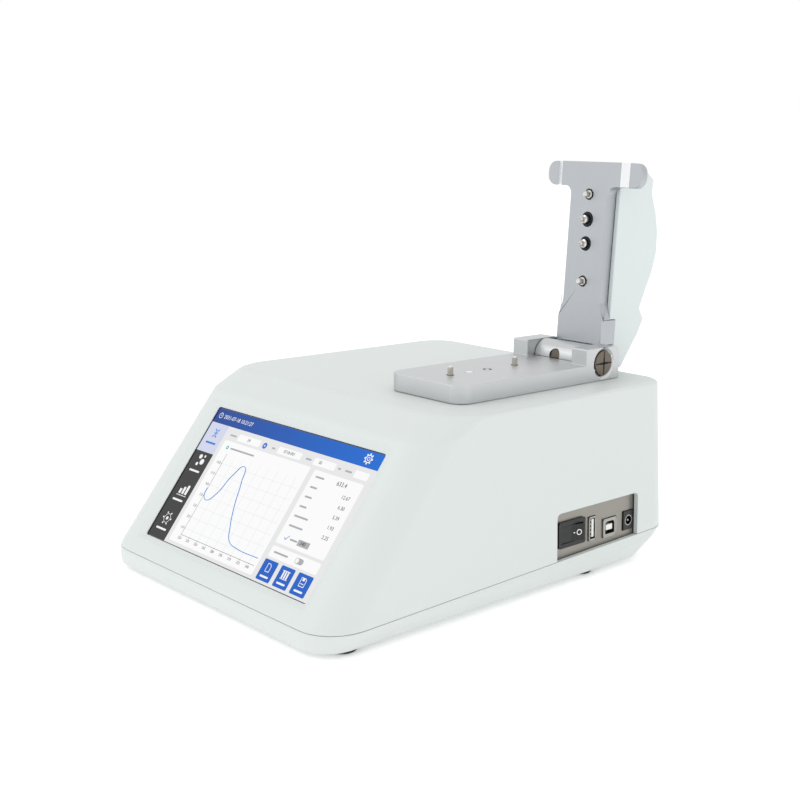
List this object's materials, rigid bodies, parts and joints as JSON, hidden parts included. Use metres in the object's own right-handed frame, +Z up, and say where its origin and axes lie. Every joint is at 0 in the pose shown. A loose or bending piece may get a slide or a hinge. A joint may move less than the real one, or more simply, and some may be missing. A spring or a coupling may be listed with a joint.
{
  "type": "micro-volume spectrophotometer",
  "caption": "Benchtop micro-volume spectrophotometer with a sloping touch display, a hinged sample arm over a metal plate, and ports in a side recess.",
  "frame": {"origin": "on the table, under the middle of the bounding box", "axes": "+X to the instrument's right seen from the display, +Y towards its back, +Z up"},
  "size_m": [0.2184, 0.3022, 0.2418],
  "materials": {
    "case_plastic": "fine texture",
    "cover_plastic": "fine texture",
    "aluminium": "bead blasted",
    "steel": "polished",
    "panel_steel": "satin",
    "dark_steel": "blackened",
    "black_plastic": "satin",
    "rubber": "matt",
    "display_glass": "clear over the lit display",
    "board": "solder mask",
    "fibre_jacket": "smooth",
    "quartz": "polished"
  },
  "bodies": {
    "base": {"upper_housing": "case_plastic", "base_tray": "case_plastic", "foot_front_left": "rubber", "foot_front_right": "rubber", "foot_rear_left": "rubber", "foot_rear_right": "rubber", "base_screw_1": "steel", "base_screw_2": "steel", "base_screw_3": "steel", "base_screw_4": "steel", "screen_glass": "display_glass", "display_module": "dark_steel", "display_bracket": "panel_steel", "main_board": "board", "power_board": "board", "spectrometer_module": "dark_steel", "flash_lamp": "dark_steel", "arm_base_plate": "aluminium", "plate_screw_1": "steel", "plate_screw_2": "steel", "plate_screw_3": "steel", "plate_screw_4": "steel", "guide_pin_front": "steel", "guide_pin_rear": "steel", "reference_disc": "quartz", "pedestal_sleeve": "dark_steel", "path_motor": "dark_steel", "lower_fibre": "fibre_jacket", "hinge_shaft": "steel", "pivot_cap_left": "aluminium", "pivot_cap_right": "aluminium", "port_panel": "panel_steel", "rocker_frame": "black_plastic", "usb_a_socket": "steel", "usb_b_socket": "steel", "dc_inlet": "black_plastic"},
    "arm": {"arm_plate": "aluminium", "hinge_knuckle": "aluminium", "knuckle_set_screw": "dark_steel", "arm_screw_1": "steel", "arm_screw_2": "steel", "stop_screw_front": "steel", "stop_screw_rear": "steel", "plunger_bush_front": "dark_steel", "plunger_bush_rear": "dark_steel", "upper_fibre": "fibre_jacket", "arm_cover": "cover_plastic"},
    "plunger_front_body": {"plunger_front": "steel"},
    "plunger_rear_body": {"plunger_rear": "steel"},
    "pedestal": {"lower_pedestal": "quartz"},
    "rocker": {"rocker_cap": "black_plastic"}
  },
  "joints": [
    {"name": "arm_hinge", "type": "hinge", "parent": "base", "child": "arm", "pos_m": [0.05025, 0.08533, 0.12304], "axis": [1, 0, 0], "range_deg": [0, 93.21]},
    {"name": "plunger_front_slide", "type": "slide", "parent": "arm", "child": "plunger_front_body", "axis": [0, 0.9984, -0.056], "range_m": [0, 0.002], "stiffness_N_per_m": 400, "springref_m": -0.001},
    {"name": "plunger_rear_slide", "type": "slide", "parent": "arm", "child": "plunger_rear_body", "axis": [0, 0.9984, -0.056], "range_m": [0, 0.002], "stiffness_N_per_m": 400, "springref_m": -0.001},
    {"name": "pedestal_lift", "type": "slide", "parent": "base", "child": "pedestal", "axis": [0, 0, 1], "range_m": [0, 0.0036]},
    {"name": "rocker_tip", "type": "hinge", "parent": "base", "child": "rocker", "pos_m": [0.10301, 0.03238, 0.03157], "axis": [-0.0391, 0, 0.9992], "range_deg": [0, 20]}
  ]
}
